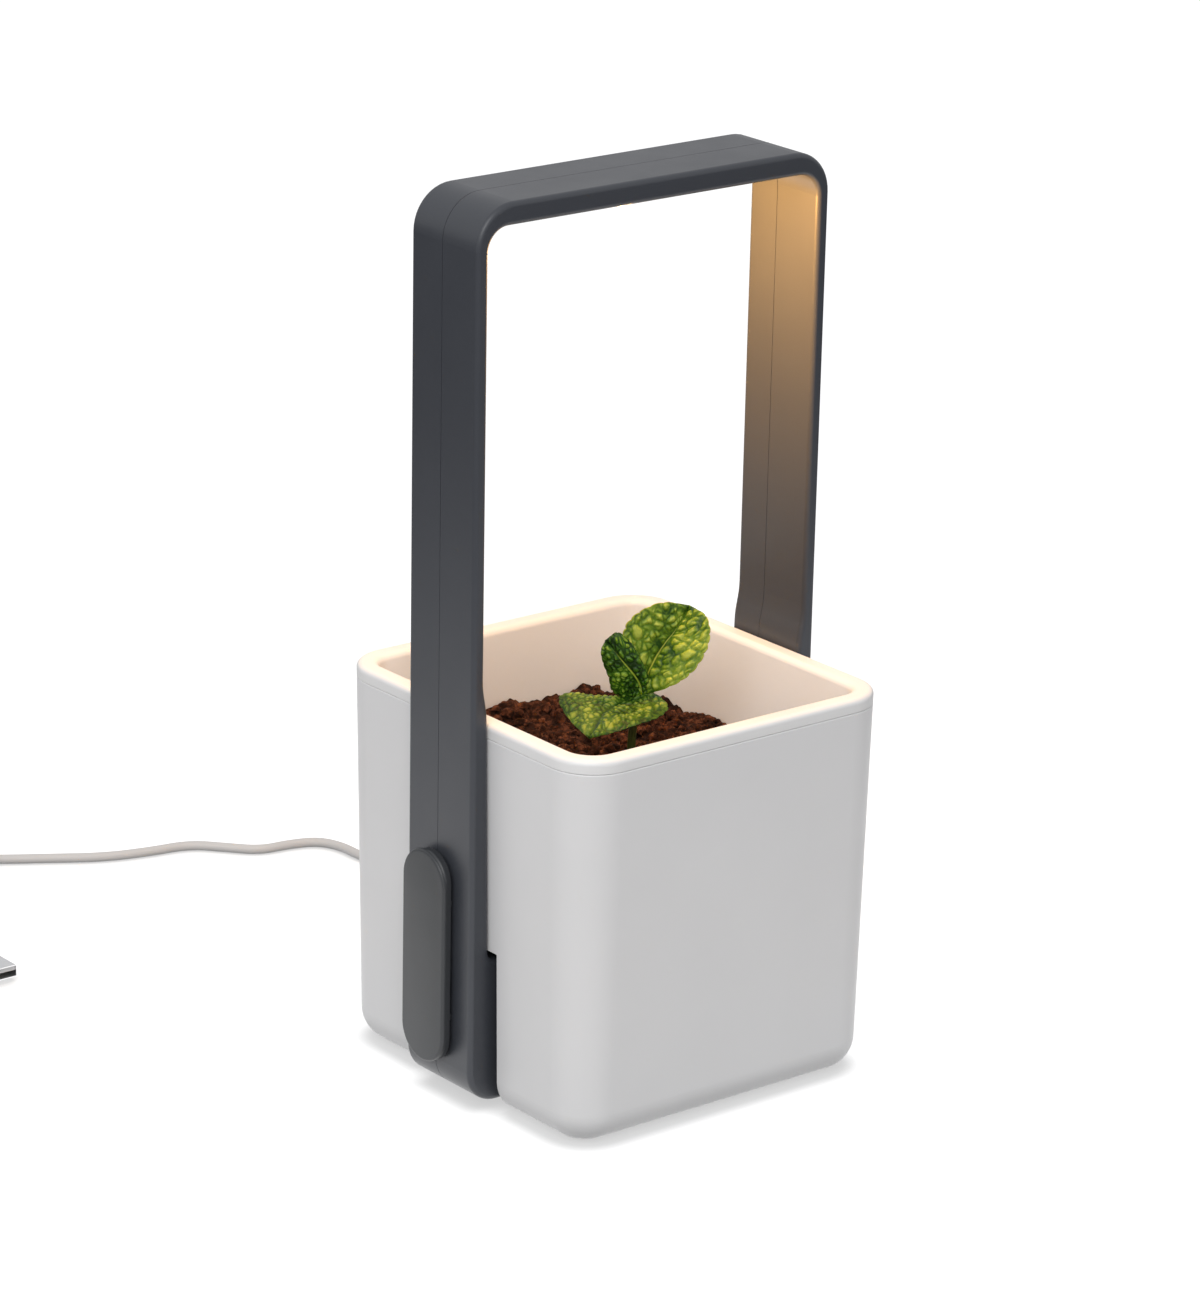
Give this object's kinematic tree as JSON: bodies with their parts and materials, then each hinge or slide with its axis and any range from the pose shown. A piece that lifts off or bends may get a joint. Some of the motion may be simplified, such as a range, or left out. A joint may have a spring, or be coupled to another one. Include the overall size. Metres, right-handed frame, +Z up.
{
  "type": "desktop planter with lamp",
  "caption": "Square self-watering planter held in a slim closed loop that is its carrying handle and grow lamp, with a side button, a seedling in soil and a plug-in lead",
  "frame": {"origin": "on the table, under the middle of the object", "axes": "+X along the loop's bars from the button's leg to the lead's leg, +Y to the back, +Z up"},
  "size_m": [0.2147, 0.3548, 0.307],
  "materials": {
    "frame": "fine satin moulded texture, dark grey",
    "pot_white": "satin white moulding",
    "screw_steel": "zinc plated",
    "feet": "soft black rubber",
    "lens": "frosted clear plastic",
    "circuit_board": "solder mask",
    "led": "phosphor",
    "wire_cover": "insulation",
    "switch_black": "moulded",
    "lead_cover": "soft white sheath",
    "tie": "hook and loop",
    "plug_metal": "nickel plated",
    "plug_insert": "moulded",
    "wick": "felt cord",
    "soil": "loose potting soil",
    "leaf": "living leaf"
  },
  "bodies": {
    "loop": {"front_shell": "frame", "rear_shell": "frame", "shell_screws": "screw_steel", "rubber_feet": "feet", "lamp_lens": "lens", "lamp_board": "circuit_board", "lamp_leds": "led", "lamp_wire": "wire_cover", "control_board": "circuit_board", "switch_body": "switch_black", "supply_wire": "lead_cover", "cord_relief": "lead_cover", "power_cord": "lead_cover", "cord_coil": "lead_cover", "cord_tie": "tie", "cord_tail": "lead_cover", "plug_grip": "lead_cover", "plug_shell": "plug_metal", "plug_tongue": "plug_insert"},
    "button": {"power_button": "frame", "switch_plunger": "switch_black"},
    "pot": {"outer_pot": "pot_white"},
    "planter": {"planter": "pot_white", "wick_front": "wick", "wick_rear": "wick", "soil": "soil", "seedling": "leaf"}
  },
  "joints": [
    {"name": "button_press", "type": "slide", "parent": "loop", "child": "button", "axis": [1, 0, 0], "range_m": [0, 0.001], "stiffness_N_per_m": 600},
    {"name": "pot_lift", "type": "slide", "parent": "loop", "child": "pot", "axis": [0, 0, 1], "range_m": [0, 0.06]},
    {"name": "planter_lift", "type": "slide", "parent": "pot", "child": "planter", "axis": [0, 0, 1], "range_m": [0, 0.075]}
  ]
}
